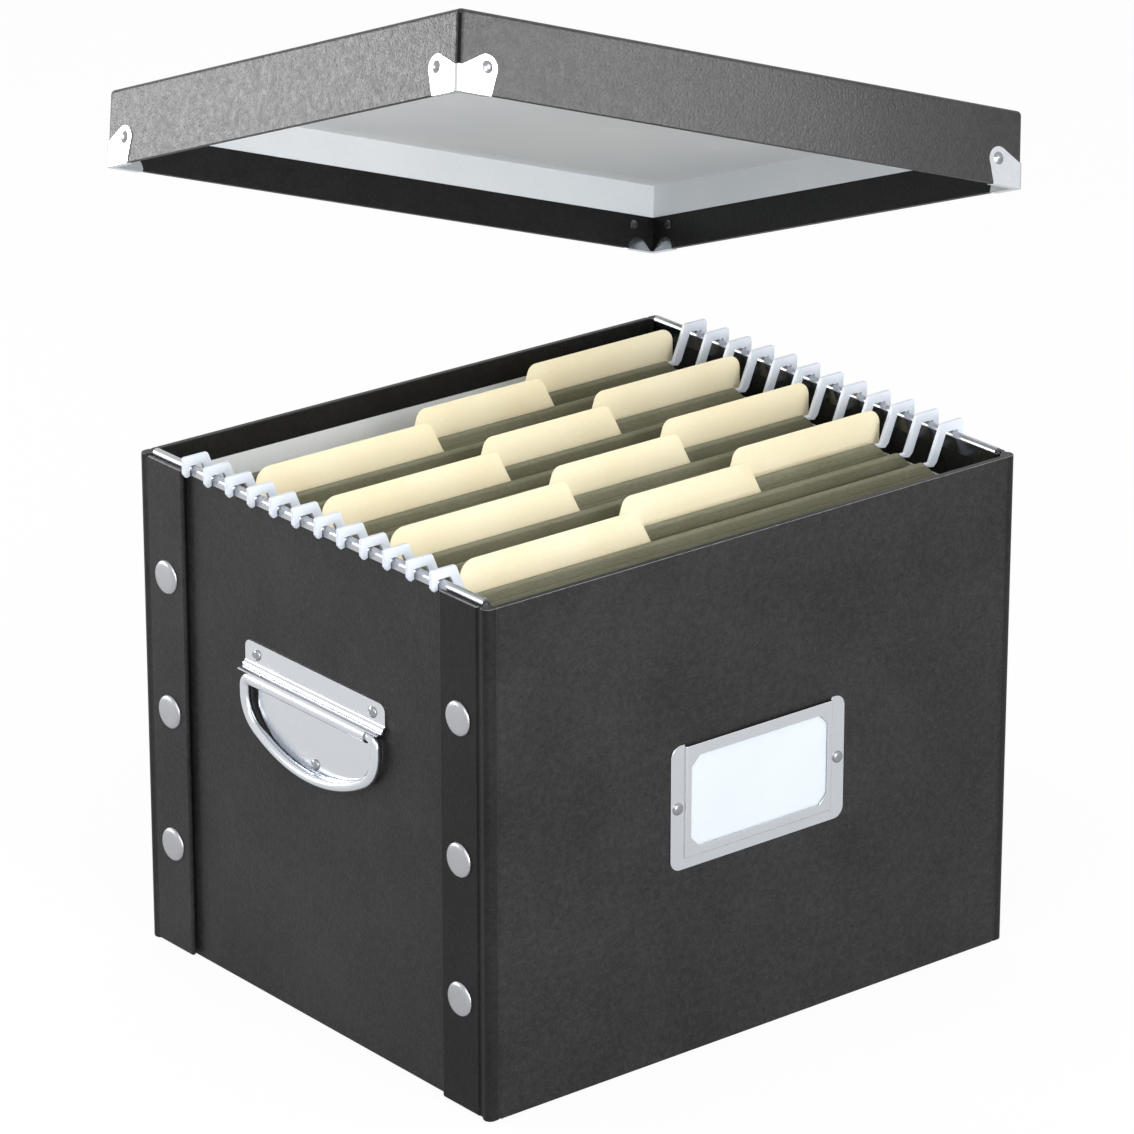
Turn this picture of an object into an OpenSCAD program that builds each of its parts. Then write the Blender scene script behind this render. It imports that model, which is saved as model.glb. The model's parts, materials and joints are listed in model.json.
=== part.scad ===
// Portable file box: leathercloth-covered board box with snap corners, two file rails,
// chest handles, a card holder, hanging folders with manila folders, and a lift-off lid.
// X runs along the card-holder side, Y to the back, Z up. The origin is the bottom centre.

/* [Box] */
// Width over the corner flaps, along X
box_w = 335; // [315:1:380]
// Depth over the front and back walls, along Y
box_d = 278; // [262:1:330]
// Height of the walls
wall_h = 263.5; // [258:0.5:290]
// Thickness of the front, back, end and base boards with their cover
board_t = 3.5; // [3:0.1:4.5]
// Thickness of a corner flap with its cover
flap_t = 2.5; // [2.2:0.1:3]
// How far a flap reaches from the corner along the end panel
flap_reach = 36; // [30:0.5:38]
// Free space between a closed flap and the end panel
flap_gap = 1.5; // [1.2:0.1:2]
// Radius of the soft corner roll that the flap folds round
corner_r = 3.5; // [3:0.1:4]
// Thickness of the grey lining paper
lining_t = 0.6; // [0.4:0.1:1]
// Height of the dark cover band turned in at the top of the walls
turn_in = 13.5; // [8:0.5:20]

/* [Snaps] */
// Radius of a snap cap
cap_r = 8.8; // [7.5:0.1:9.5]
// Height of a snap cap above the flap
cap_h = 2; // [1.4:0.1:2.4]
// Heights of the three snaps on a flap
snap_z_low = 58; // [40:1:70]
// Distance from one snap up to the next
snap_step = 72.5; // [50:0.5:78]
// Radius of the stud that a cap presses onto
stud_r = 2.2; // [1.8:0.1:2.4]
// Space round the stud inside the socket
stud_gap = 0.7; // [0.5:0.05:0.9]

/* [Handles] */
// How far the handle plate reaches past the bail's legs
plate_past = 3.3; // [3:0.1:8]
// Height of the handle plate's top edge
plate_top_z = 188.7; // [175:0.5:215]
// Height of the bail's pivot axis
bail_axis_z = 171; // [160:0.5:185]
// Sheet thickness of the handle plate
plate_t = 0.8; // [0.6:0.1:1]
// Radius of the bail's wire
wire_r = 2.7; // [2.2:0.1:3]
// Running space round the wire in its barrel
wire_gap = 0.15; // [0.1:0.05:0.3]
// Half of the bail's width, between leg centres
bail_half_w = 53; // [47.7:5.3:58.3]
// Drop from the pivot axis to the bottom of the bail
bail_drop = 37.6; // [37:0.2:44]
// Radius of a rivet head on the handle
rivet_head_r = 3; // [2.4:0.1:3.2]

/* [Card holder] */
// Half of the width of the card holder
holder_half_w = 55.5; // [50:0.5:70]
// Height of the card holder
holder_h = 65.5; // [60:0.5:80]
// Height of the card holder's lower edge
holder_z = 99.4; // [60:0.5:120]
// Width of the flat side flange that is riveted down
holder_flange = 8.5; // [8:0.1:11]
// Width of the flat flange below the pocket
holder_foot = 5.6; // [4:0.1:8]
// Depth of the raised pocket, outside
holder_raise = 2; // [1.8:0.1:3]
// Sheet thickness of the card holder
holder_t = 0.7; // [0.5:0.1:0.9]
// Width of the pocket's rim round the window
holder_rim = 5; // [4:0.2:8]
// Thickness of the card
card_t = 0.5; // [0.3:0.1:0.8]

/* [Rails] */
// Sheet thickness of the file rail
rail_t = 0.7; // [0.6:0.1:0.9]
// Space between the rail's legs and the end panel
rail_gap = 0.05; // [0.02:0.01:0.1]
// Height of the ridge above the walls' top
ridge_h = 2.5; // [2:0.1:3.5]
// Length of the rail's inner leg below the walls' top
rail_leg = 7; // [5:0.5:9]
// Length of the rail's outer lip below the walls' top
rail_lip = 2.2; // [1.6:0.1:4]

/* [Hanging folders] */
// Number of hanging folders, as far as the box has room for them
folder_n = 6; // [1:1:6]
// Distance from one folder rod to the next
rod_pitch = 18; // [17.4:0.1:18.2]
// Room from the front flap's edge to the front rod
front_room = 5; // [4.6:0.1:6]
// Radius of a folder rod
rod_r = 1.2; // [1:0.1:1.4]
// Height of the rods below the walls' top
rod_drop = 12; // [11.5:0.5:16]
// Room from a hanging folder's side to the end panel
paper_room = 10; // [9:0.5:14]
// Thickness of the hanging folder's card
paper_t = 0.6; // [0.4:0.1:0.8]
// Height of the hanging folder's lower fold above the floor
fold_z = 26; // [16:0.5:40]
// Half of the width of the folder's bottom
fold_half = 3.4; // [3.2:0.1:4]
// Thickness of a hook plate
hook_t = 2.2; // [1.6:0.1:2.6]
// Space between a hook and the rail it hangs on
hook_gap = 0.4; // [0.3:0.05:0.5]
// Rest space between the hook's crown and the ridge
hook_rest = 0.15; // [0.1:0.05:0.2]
// Height of the hooks' crown over the notch
hook_crown = 5; // [4:0.2:6]
// Thickness of a hook's outer arm
hook_arm = 3.7; // [3:0.1:4]

/* [Manila folders] */
// Thickness of a manila folder, both leaves
manila_t = 1.2; // [0.8:0.1:1.4]
// Room from a manila folder's side out to the box's end face
side_room = 19; // [18.5:0.1:24]
// Height of a manila folder without its tab
manila_h = 222; // [215:0.5:223]
// Height of the tab
tab_h = 19; // [15:0.5:19.5]
// Sideways shift of the manila folders towards the right-hand hooks
manila_shift = 3.5; // [0:0.5:4]
// Place of a manila folder behind its rod
manila_behind = 7; // [6.8:0.1:7.2]

/* [Lid] */
// Thickness of the lid's boards with their cover
lid_t = 3; // [2.6:0.1:3.4]
// Space between the box and the lid's skirt, each side
lid_gap = 3.2; // [2.8:0.1:4]
// Height of the lid over its skirt
lid_h = 38.4; // [36:0.2:44]
// Rest space between the hooks' tops and the lid's inner face
lid_rest = 0.8; // [0.5:0.1:1.5]
// Height of the dark band turned in at the lid's rim
lid_band = 18; // [12:0.5:22]
// Length of a corner guard's wing along the rim
guard_w = 22.2; // [18:0.2:26]
// Sheet thickness of a corner guard
guard_t = 0.5; // [0.4:0.05:0.7]
// Angle by which the lid is lifted in the rest pose
lid_open = 27.55; // [20:0.05:30]
// Compass direction of the lift axis from the box's centre
lift_dir = 48; // [44:0.5:52]
// Distance of the lift axis from the box's centre
lift_dist = 341; // [335:1:360]
// Rise of the lift axis over one unit of its length
lift_slope = -0.058; // [-0.06:0.001:0]

/* [Hidden] */

// Colours
cover_dark = "#3a3a3b";
cover_grey = "#77767a";
lining_grey = "#c4c8cd";
nickel = "#d3d7da";
olive = "#66654c";
manila_cream = "#f3e4bd";
nylon_white = "#eef2f8";
card_white = "#f6f8fb";

// Fineness of round parts
$fn = 48;
fine = 24;

// Faces of the box
half_w = box_w / 2;
half_d = box_d / 2;
flap_in = half_w - flap_t;
end_out = flap_in - flap_gap;
end_in = end_out - board_t;
wall_in = half_d - board_t;
roll_x = half_w - corner_r;
roll_y = half_d - corner_r;
roll_space = 0.3;
flap_start = roll_y - corner_r - roll_space;
flap_end = half_d - flap_reach;
end_half_d = roll_y - corner_r - roll_space;
flap_lift = 0.8;
crease_w = 0.8;
crease_d = 0.6;

// Snaps
snap_y = (flap_start + flap_end) / 2;
cap_edge_r = 1.1;
cap_crown = 0.3;
socket_r = stud_r + stud_gap;
barrel_wall = 0.7;
barrel_r = socket_r + barrel_wall;
snap_flange_r = 5.5;
snap_flange_t = 0.5;
stud_len = 2.8;
shank_r = 1.5;
shank_gap = 0.1;
tail_r = 4;
tail_t = 0.7;

// Handles
barrel_in = wire_r + wire_gap;
barrel_sheet = 0.9;
barrel_out = barrel_in + barrel_sheet;
bail_axis_x = end_out + barrel_out;
bail_elbow_r = 5;
bow_run = bail_half_w * 33 / 53;
bow_rise = bail_half_w * 56 / 53;
bow_slant = bail_half_w * 65 / 53;
bail_corner_r = bail_half_w - bow_run;
plate_half_w = bail_half_w + plate_past;
bow_r = bail_corner_r + bow_slant;
bow_z = bow_r - bail_drop;
bend_z = bow_z - bow_rise;
elbow_room = 1;
barrel_half = bail_half_w - bail_elbow_r - elbow_room;
plate_corner_r = 4;
plate_low_half = bail_half_w - 7;
plate_low_r = bail_half_w - 1;
plate_low_z = bail_axis_z - bail_drop - 4.9;
rivet_dome_h = 1.5;
rivet_y = plate_half_w - 9.6;
rivet_z = plate_top_z - 6.2;
rivet_low_z = plate_low_z + 11.2;
rivet_shank_r = 1.5;
rivet_space = 0.1;

// Card holder
holder_corner_r = 6;
pocket_half = holder_half_w - holder_flange;
pocket_z = holder_z + holder_foot;
pocket_top = holder_z + holder_h - 1.2;
window_half = pocket_half - 3.4;
window_z = pocket_z + holder_rim;
window_top = pocket_top - holder_rim - 1;
window_cut = 5.2;
card_space = 0.3;
card_back_gap = 0.3;
holder_rivet_z = holder_z + holder_h / 2;
holder_rivet_x = holder_half_w - holder_flange / 2;
holder_rivet_r = 2.6;
holder_dome_h = 1.3;

// Rails
rail_half_d = end_half_d - 0.2;
rail_out = end_out + rail_gap + rail_t;
rail_in = end_in - rail_gap - rail_t;
rail_mid = (rail_out + rail_in) / 2;
ridge_half = (rail_out - rail_in) / 2 - 0.3;
rail_top = wall_h + rail_t + rail_gap;
ridge_top = wall_h + ridge_h;

// Hanging folders
paper_half_w = end_in - paper_room;
rod_first = flap_reach + front_room;
back_room = 2.5;
rod_places = floor((box_d - rod_first - flap_reach - back_room) / rod_pitch) + 1;
folders = min(folder_n, floor(rod_places / 2));
rod_z = wall_h - rod_drop;
ring_in = rod_r + 0.1;
ring_out = ring_in + paper_t;
ring_mid = ring_in + paper_t / 2;
pocket_mid = rod_pitch / 2;
lean_gap = 0.5;
paper_top = rod_z + ring_out;
notch_top = ridge_top + hook_rest;
hook_top = notch_top + hook_crown;
hook_out = rail_out + hook_gap + hook_arm;
notch_out = rail_out + hook_gap;
notch_in = rail_in - hook_gap;
foot_out = paper_half_w;
foot_w = 6.5;
foot_in = paper_half_w - foot_w;
rod_end = foot_in + 2.5;
belly_steps = 12;
belly = rod_pitch / 2 + manila_behind - manila_t / 2 - lean_gap - paper_t / 2
    - (fold_half + pocket_mid + ring_mid) / 2;

// Manila folders
manila_w = box_w - 2 * side_room;
manila_z = fold_z + paper_t + 0.4;
manila_slope = 8;
tab_corner_r = 7;
leaf_t = manila_t / 3;

// Lid
lid_half_w = half_w + lid_gap + lid_t;
lid_half_d = half_d + lid_gap + lid_t;
lid_seat_z = hook_top + lid_rest + lid_t - lid_h;
lid_roll_r = 2.5;
lid_edge_r = 2.2;
lid_axis = [-sin(lift_dir), cos(lift_dir), lift_slope];
lid_pivot = [lift_dist * cos(lift_dir), lift_dist * sin(lift_dir), lid_seat_z];
guard_dip = 12.3;
lobe_r = 6.4;
lobe_u = guard_w - lobe_r;
lobe_v = 12.2;
inner_lobe_r = 6.3;
lid_rivet_u = 16.3;
lid_rivet_v = 12.7;
lid_rivet_head_r = 3.2;
lid_rivet_dome = 1.2;
lid_ring_r = 2.4;
lid_ring_h = 0.6;

// A block given by its lowest and highest corners
module block(a, b) {
    translate(a) cube(b - a);
}

// Points of a rounded corner from angle a0 to a1
function arc(c, r, a0, a1, n = 6) =
    [for (i = [0:n]) let (a = a0 + (a1 - a0) * i / n) [c[0] + r * cos(a), c[1] + r * sin(a)]];

// A copy on the right-hand side of what is drawn on the left
module to_side(side) {
    scale_x = side;
    if (scale_x < 0) children();
    else mirror([1, 0, 0]) children();
}

// A domed rivet head standing on z = 0
module dome(r, h) {
    sphere_r = (r * r + h * h) / (2 * h);
    rotate_extrude() intersection() {
        translate([0, h - sphere_r]) circle(sphere_r, $fn = 96);
        square([r, h]);
    }
}

// Box boards

module base_panel() {
    color(cover_dark) block([-end_in, -wall_in, 0], [end_in, wall_in, board_t]);
}

// A long wall with the corner rolls that its flaps fold round, drawn as the front wall
module long_wall() {
    difference() {
        union() {
            block([-roll_x, -half_d, 0], [roll_x, -wall_in, wall_h]);
            for (s = [-1, 1]) translate([s * roll_x, -roll_y, 0]) cylinder(r = corner_r, h = wall_h);
        }
        for (s = [-1, 1])
            translate([s * (roll_x - corner_r) - crease_w / 2, -half_d - crease_d, -1])
                cube([crease_w, 2 * crease_d, wall_h + 2]);
    }
}

module front_wall() {
    color(cover_dark) difference() {
        long_wall();
        for (s = [-1, 1]) translate([s * holder_rivet_x, -half_d - 1, holder_rivet_z]) rotate([-90, 0, 0]) {
            cylinder(r = rivet_shank_r + rivet_space, h = board_t + 2);
            translate([0, 0, 1 + board_t - tail_t]) cylinder(r = tail_r, h = tail_t + 1);
        }
    }
}

module back_wall() {
    color(cover_dark) mirror([0, 1, 0]) long_wall();
}

// An end wall with its snap and handle rivet holes, drawn on the left
module end_wall() {
    color(cover_dark) difference() {
        block([-end_out, -end_half_d, 0], [-end_in, end_half_d, wall_h]);
        at_snaps() {
            translate([0, 0, -1]) cylinder(r = shank_r + shank_gap, h = board_t + 2);
            translate([0, 0, board_t - tail_t]) cylinder(r = tail_r, h = tail_t + 1);
        }
        at_handle_rivets() {
            translate([0, 0, -1]) cylinder(r = rivet_shank_r + rivet_space, h = board_t + 2);
            translate([0, 0, board_t - tail_t]) cylinder(r = tail_r, h = tail_t + 1);
        }
    }
}

// Places of the snaps on the left end panel, z pointing into the box
module at_snaps() {
    for (s = [-1, 1], i = [0:2])
        translate([-end_out, s * snap_y, snap_z_low + i * snap_step]) rotate([0, 90, 0]) children();
}

// Places of the handle rivets on the left end panel, z pointing into the box
module at_handle_rivets() {
    for (p = [[-rivet_y, rivet_z], [rivet_y, rivet_z], [0, rivet_low_z]])
        translate([-end_out, p[0], p[1]]) rotate([0, 90, 0]) children();
}

module base_lining() {
    color(lining_grey)
        block([-end_in + lining_t, -wall_in + lining_t, board_t],
              [end_in - lining_t, wall_in - lining_t, board_t + lining_t]);
}

module wall_linings() {
    z0 = board_t;
    z1 = wall_h - turn_in;
    color(lining_grey) {
        for (s = [-1, 1])
            scale_y(s) block([-end_in + lining_t, wall_in - lining_t, z0], [end_in - lining_t, wall_in, z1]);
        for (s = [-1, 1])
            to_side(s) block([-end_in, -end_half_d, z0], [-end_in + lining_t, end_half_d, z1]);
    }
}

// A copy at the front of what is drawn at the back
module scale_y(side) {
    if (side > 0) children();
    else mirror([0, 1, 0]) children();
}

// Corner flaps and snaps

// A flap drawn at the back left corner
module flap() {
    color(cover_dark) difference() {
        block([-half_w, flap_end, flap_lift], [-flap_in, flap_start, wall_h]);
        for (i = [0:2])
            translate([-half_w - 1, snap_y, snap_z_low + i * snap_step]) rotate([0, 90, 0])
                cylinder(r = barrel_r, h = flap_t + 2);
    }
}

// The three snap caps with their sockets on the back left flap
module snap_caps() {
    color(nickel) for (i = [0:2])
        translate([-half_w, snap_y, snap_z_low + i * snap_step]) rotate([0, -90, 0]) difference() {
            union() {
                rotate_extrude() polygon(concat([[0, 0], [cap_r, 0]],
                    arc([cap_r - cap_edge_r, cap_h - cap_crown - cap_edge_r], cap_edge_r, 0, 80),
                    [[0, cap_h]]));
                translate([0, 0, -flap_t]) cylinder(r = barrel_r, h = flap_t);
                translate([0, 0, -flap_t - snap_flange_t]) cylinder(r = snap_flange_r, h = snap_flange_t);
            }
            translate([0, 0, -flap_t - snap_flange_t - 1])
                cylinder(r = socket_r, h = flap_t + snap_flange_t + 1);
        }
}

module snap_studs() {
    color(nickel) for (s = [-1, 1]) to_side(s) at_snaps() {
        translate([0, 0, -stud_len]) cylinder(r = stud_r, h = stud_len);
        translate([0, 0, -snap_flange_t]) cylinder(r = snap_flange_r, h = snap_flange_t);
        cylinder(r = shank_r, h = board_t - tail_t);
        translate([0, 0, board_t - tail_t]) cylinder(r = tail_r - 0.1, h = tail_t);
    }
}

// File rails

// A rail over the left end panel: an outer lip, an inner leg, a web and a rounded ridge
module rail() {
    color(nickel) {
        translate([0, rail_half_d, 0]) rotate([90, 0, 0]) linear_extrude(2 * rail_half_d) {
            translate([-rail_out, wall_h - rail_lip]) square([rail_t, rail_top - wall_h + rail_lip]);
            translate([-rail_in - rail_t, wall_h - rail_leg]) square([rail_t, rail_top - wall_h + rail_leg]);
            translate([-rail_out, wall_h + rail_gap]) square([rail_out - rail_in, rail_t]);
            intersection() {
                translate([-rail_mid, ridge_top - ridge_half]) circle(ridge_half);
                translate([-rail_mid - ridge_half, rail_top - rail_t]) square([2 * ridge_half, ridge_h]);
            }
        }
    }
}

// Chest handles

// Outline of the handle plate, y along the panel and z up
module plate_outline() {
    top = plate_top_z;
    low = bail_axis_z - barrel_out;
    r = plate_corner_r;
    polygon(concat([[plate_half_w, low]], arc([plate_half_w - r, top - r], r, 0, 90),
        arc([-plate_half_w + r, top - r], r, 90, 180), [[-plate_half_w, low]]));
    intersection() {
        translate([-plate_low_half, plate_low_z]) square([2 * plate_low_half, bail_axis_z - plate_low_z]);
        translate([0, plate_low_z + plate_low_r]) circle(plate_low_r, $fn = 96);
    }
}

module handle_plate() {
    color(nickel) difference() {
        union() {
            translate([-end_out - plate_t, 0, 0]) rotate([90, 0, 90]) linear_extrude(plate_t) plate_outline();
            translate([-bail_axis_x, 0, bail_axis_z]) rotate([90, 0, 0])
                cylinder(r = barrel_out, h = 2 * barrel_half, center = true);
            for (s = [-1, 1]) barrel_lip(s);
        }
        translate([-bail_axis_x, 0, bail_axis_z]) rotate([90, 0, 0])
            cylinder(r = barrel_in, h = 2 * plate_half_w + 2, center = true);
        at_handle_rivets() translate([0, 0, -plate_t - 1])
            cylinder(r = rivet_shank_r + rivet_space, h = plate_t + 2);
    }
}

// The barrel's upper lip that runs on past the bail's legs, on side s
module barrel_lip(s) {
    y0 = barrel_half - 0.5;
    intersection() {
        translate([-bail_axis_x, s * (y0 + plate_half_w) / 2, bail_axis_z]) rotate([90, 0, 0])
            cylinder(r = barrel_out, h = plate_half_w - y0, center = true);
        translate([-bail_axis_x - barrel_out, s * (y0 + plate_half_w) / 2 - plate_half_w, bail_axis_z + barrel_in])
            cube([2 * barrel_out, 2 * plate_half_w, barrel_out]);
    }
}

// The bail: a closed loop of wire with two elbows, two legs, two bends and a shallow bow,
// whose bends meet the bow on exact planes, as 33, 56 and 65 are a right triangle's sides
module bail() {
    pivot_end = bail_half_w - bail_elbow_r;
    color(nickel) translate([-bail_axis_x, 0, bail_axis_z]) rotate([90, 0, 90]) {
        for (m = [0, 1]) mirror([m, 0, 0]) {
            rotate([0, 90, 0]) cylinder(r = wire_r, h = pivot_end);
            translate([pivot_end, -bail_elbow_r, 0])
                bend(bail_elbow_r, [[0, 0], [4, 0], [4, 4], [0, 4]] * bail_elbow_r);
            translate([bail_half_w, bend_z, 0]) rotate([-90, 0, 0])
                cylinder(r = wire_r, h = -bend_z - bail_elbow_r);
            translate([bow_run, bend_z, 0])
                bend(bail_corner_r, [[0, 0], [bow_run, -bow_rise], [2 * bow_run, -bow_rise], [2 * bow_run, 0]]);
        }
        translate([0, bow_z, 0])
            bend(bow_r, [[0, 0], [2 * bow_run, -2 * bow_rise], [-2 * bow_run, -2 * bow_rise]]);
    }
}

// The stretch of a ring of wire that lies over the given wedge
module bend(r, wedge) {
    intersection() {
        rotate_extrude($fn = 96) translate([r, 0]) circle(wire_r, $fn = fine);
        translate([0, 0, -wire_r - 1]) linear_extrude(2 * wire_r + 2) polygon(wedge);
    }
}

module handle_rivets() {
    color(nickel) for (s = [-1, 1]) to_side(s) at_handle_rivets() {
        translate([0, 0, -plate_t]) mirror([0, 0, 1]) dome(rivet_head_r, rivet_dome_h);
        translate([0, 0, -plate_t]) cylinder(r = rivet_shank_r, h = plate_t + board_t - tail_t);
        translate([0, 0, board_t - tail_t]) cylinder(r = tail_r - 0.1, h = tail_t);
    }
}

// Card holder

// Outline of the whole holder, x along the wall and z up
module holder_outline() {
    r = holder_corner_r;
    w = holder_half_w;
    z0 = holder_z;
    z1 = holder_z + holder_h;
    polygon(concat(arc([w - r, z1 - r], r, 0, 90), [[pocket_half, z1], [pocket_half, pocket_top]],
        [[-pocket_half, pocket_top], [-pocket_half, z1]], arc([-w + r, z1 - r], r, 90, 180),
        arc([-w + r, z0 + r], r, 180, 270), arc([w - r, z0 + r], r, 270, 360)));
}

module window_outline() {
    w = window_half;
    c = window_cut;
    polygon([[w - c, window_z], [w, window_z + c], [w, window_top - c], [w - c, window_top],
             [-w + c, window_top], [-w, window_top - c], [-w, window_z + c], [-w + c, window_z]]);
}

// Stands an outline in x and z up on the front wall, thick towards the front
module on_front(y, t) {
    translate([0, -half_d - y, 0]) rotate([90, 0, 0]) linear_extrude(t) children();
}

module label_holder() {
    color(nickel) difference() {
        union() {
            on_front(0, holder_t) holder_outline();
            on_front(0, holder_raise)
                translate([-pocket_half, pocket_z]) square([2 * pocket_half, pocket_top - pocket_z]);
        }
        on_front(-1, 1 + holder_raise - holder_t)
            translate([-pocket_half + holder_t, pocket_z + holder_t])
                square([2 * (pocket_half - holder_t), pocket_top - pocket_z]);
        on_front(-1, holder_raise + 2) window_outline();
        for (s = [-1, 1]) translate([s * holder_rivet_x, -half_d + 1, holder_rivet_z]) rotate([90, 0, 0])
            cylinder(r = rivet_shank_r + rivet_space, h = holder_t + 2);
    }
}

module label_card() {
    color(card_white) on_front(card_back_gap, card_t)
        translate([-pocket_half + holder_t + card_space, pocket_z + holder_t + card_space])
            square([2 * (pocket_half - holder_t - card_space), pocket_top - pocket_z - holder_t - 1.5]);
}

module label_rivets() {
    color(nickel) for (s = [-1, 1]) translate([s * holder_rivet_x, -half_d, holder_rivet_z]) rotate([90, 0, 0]) {
        translate([0, 0, holder_t]) dome(holder_rivet_r, holder_dome_h);
        translate([0, 0, -board_t + tail_t]) cylinder(r = rivet_shank_r, h = board_t - tail_t + holder_t);
        translate([0, 0, -board_t]) cylinder(r = tail_r - 0.1, h = tail_t);
    }
}

// Lid, drawn seated with its rim at z = 0 and then lifted

module lifted() {
    translate(lid_pivot) rotate(a = lid_open, v = lid_axis) translate(-lid_pivot)
        translate([0, 0, lid_seat_z]) children();
}

// Section of a skirt board with its outer top edge rounded, outside at u = 0
module skirt_section() {
    r = lid_edge_r;
    difference() {
        square([lid_t, lid_h]);
        translate([0, lid_h - r]) difference() {
            translate([-1, 0]) square([r + 1, r + 1]);
            translate([r, 0]) circle(r);
        }
    }
}

// A skirt board along X with the lid's corner rolls, drawn at the front
module long_skirt() {
    w = lid_half_w - lid_roll_r;
    inner_w = lid_half_w - lid_t;
    color(cover_grey) difference() {
        union() {
            translate([-w, -lid_half_d, 0]) rotate([90, 0, 90]) linear_extrude(2 * w) skirt_section();
            for (s = [-1, 1]) translate([s * w, -lid_half_d + lid_roll_r, 0])
                cylinder(r = lid_roll_r, h = lid_h - lid_edge_r);
        }
        block([-inner_w, -lid_half_d + lid_t, -1], [inner_w, 0, lid_h + 1]);
        for (s = [-1, 1]) translate([s * (lid_half_w - lid_rivet_u), -lid_half_d - 1, lid_rivet_v])
            rotate([-90, 0, 0]) cylinder(r = shank_r + shank_gap, h = lid_t + 2);
    }
}

// A skirt board along Y between the corner rolls, drawn on the left
module end_skirt() {
    d = lid_half_d - 2 * lid_roll_r - roll_space;
    color(cover_grey) difference() {
        translate([-lid_half_w, d, 0]) rotate([90, 0, 0]) linear_extrude(2 * d) skirt_section();
        for (s = [-1, 1]) translate([-lid_half_w - 1, s * (lid_half_d - lid_rivet_u), lid_rivet_v])
            rotate([0, 90, 0]) cylinder(r = shank_r + shank_gap, h = lid_t + 2);
    }
}

module lid_top() {
    w = lid_half_w - lid_t;
    d = lid_half_d - lid_t;
    color(cover_grey) lifted() block([-w, -d, lid_h - lid_t], [w, d, lid_h]);
}

module lid_lining() {
    w = lid_half_w - lid_t;
    d = lid_half_d - lid_t;
    z1 = lid_h - lid_t;
    t = lining_t;
    color(lining_grey) lifted() difference() {
        block([-w, -d, lid_band], [w, d, z1]);
        block([-w + t, -d + t, lid_band - 1], [w - t, d - t, z1 - t]);
    }
}

// Outline of a guard's wing, u along the rim from the corner and v up
module wing_outline() {
    polygon([[lid_roll_r, 0], [guard_w - 3, 0], [guard_w, lobe_v], [lobe_u + 2, lobe_v + lobe_r - 0.3],
             [lobe_u - 2.2, lobe_v + lobe_r - 0.4], [lid_roll_r, guard_dip]]);
    translate([lobe_u, lobe_v]) circle(lobe_r);
}

// Outline of the small lobe that is turned up inside the rim
module inner_lobe_outline() {
    c = guard_w - 2.5 - inner_lobe_r;
    intersection() {
        union() {
            translate([c, 0]) circle(inner_lobe_r);
            polygon([[lid_t + 1.5, 0], [c, 0], [c, inner_lobe_r], [c - 3.4, inner_lobe_r - 1.1]]);
        }
        translate([0, -guard_t]) square([guard_w, inner_lobe_r + guard_t]);
    }
}

// One wing of a guard on the front skirt at the left corner
module guard_wing() {
    t = guard_t;
    translate([0, 0, 0]) rotate([90, 0, 0]) linear_extrude(t) wing_outline();
    block([lid_roll_r, -t, -t], [guard_w - 3, lid_t + t, 0]);
    translate([0, lid_t + t, 0]) rotate([90, 0, 0]) linear_extrude(t) inner_lobe_outline();
}

// A whole guard with its corner at the origin, the box towards +x and +y
module corner_guard() {
    r = lid_roll_r;
    difference() {
        union() {
            guard_wing();
            mirror([1, -1, 0]) guard_wing();
            translate([r, r, -guard_t]) intersection() {
                difference() {
                    cylinder(r = r + guard_t, h = guard_dip + guard_t);
                    translate([0, 0, guard_t]) cylinder(r = r, h = guard_dip + 1);
                }
                translate([-2 * r, -2 * r, 0]) cube([2 * r, 2 * r, guard_dip + guard_t]);
            }
        }
        for (m = [0, 1]) mirror([m, -m, 0]) translate([lid_rivet_u, -guard_t - 1, lid_rivet_v])
            rotate([-90, 0, 0]) cylinder(r = shank_r + shank_gap, h = guard_t + 2);
    }
}

// A rivet through a guard and the front skirt at the left corner
module lid_rivet() {
    translate([lid_rivet_u, 0, lid_rivet_v]) rotate([90, 0, 0]) {
        translate([0, 0, guard_t]) dome(lid_rivet_head_r, lid_rivet_dome);
        translate([0, 0, -lid_t]) cylinder(r = shank_r, h = lid_t + guard_t);
        translate([0, 0, -lid_t - lid_ring_h]) cylinder(r = lid_ring_r, h = lid_ring_h);
    }
}

module at_lid_corners() {
    for (i = [0, 1], j = [0, 1])
        mirror([i, 0, 0]) mirror([0, j, 0]) translate([-lid_half_w, -lid_half_d, 0]) children();
}

module lid_corner_guards() {
    color(nickel) lifted() at_lid_corners() corner_guard();
}

module lid_rivets() {
    color(nickel) lifted() at_lid_corners() {
        lid_rivet();
        mirror([1, -1, 0]) lid_rivet();
    }
}

// Hanging folders

// Place of rod number i, counted from the front, starting at 0
function rod_y(i) = -half_d + rod_first + rod_pitch * i;

// Half of the folder's width at share s of the way down from the rods
function sheet_half(s) =
    pocket_mid + ring_mid + (fold_half - pocket_mid - ring_mid) * s + belly * sin(180 * s);

// Height at share s of the way down
function sheet_z(s) = rod_z + (fold_z + paper_t / 2 - rod_z) * s;

// Course of the folder's sheet on the right of the pocket's middle, from the loose end over
// the rod and down to the lower fold
function leaf_course() = concat([[pocket_mid - ring_mid + 1, rod_z - 6]],
    [for (i = [0:6]) let (a = 180 - 30 * i) [pocket_mid + ring_mid * cos(a), rod_z + ring_mid * sin(a)]],
    [for (i = [1:belly_steps]) let (k = i / belly_steps) [sheet_half(k), sheet_z(k)]]);

// The outline of a sheet of thickness t that follows a course of points
function sheet_outline(p, t) = let (
    n = len(p) - 1,
    d = [for (i = [0:n]) let (v = p[min(i + 1, n)] - p[max(i - 1, 0)]) v / norm(v)])
    concat([for (i = [0:n]) p[i] + [-d[i][1], d[i][0]] * t / 2],
           [for (i = [n:-1:0]) p[i] - [-d[i][1], d[i][0]] * t / 2]);

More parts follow.
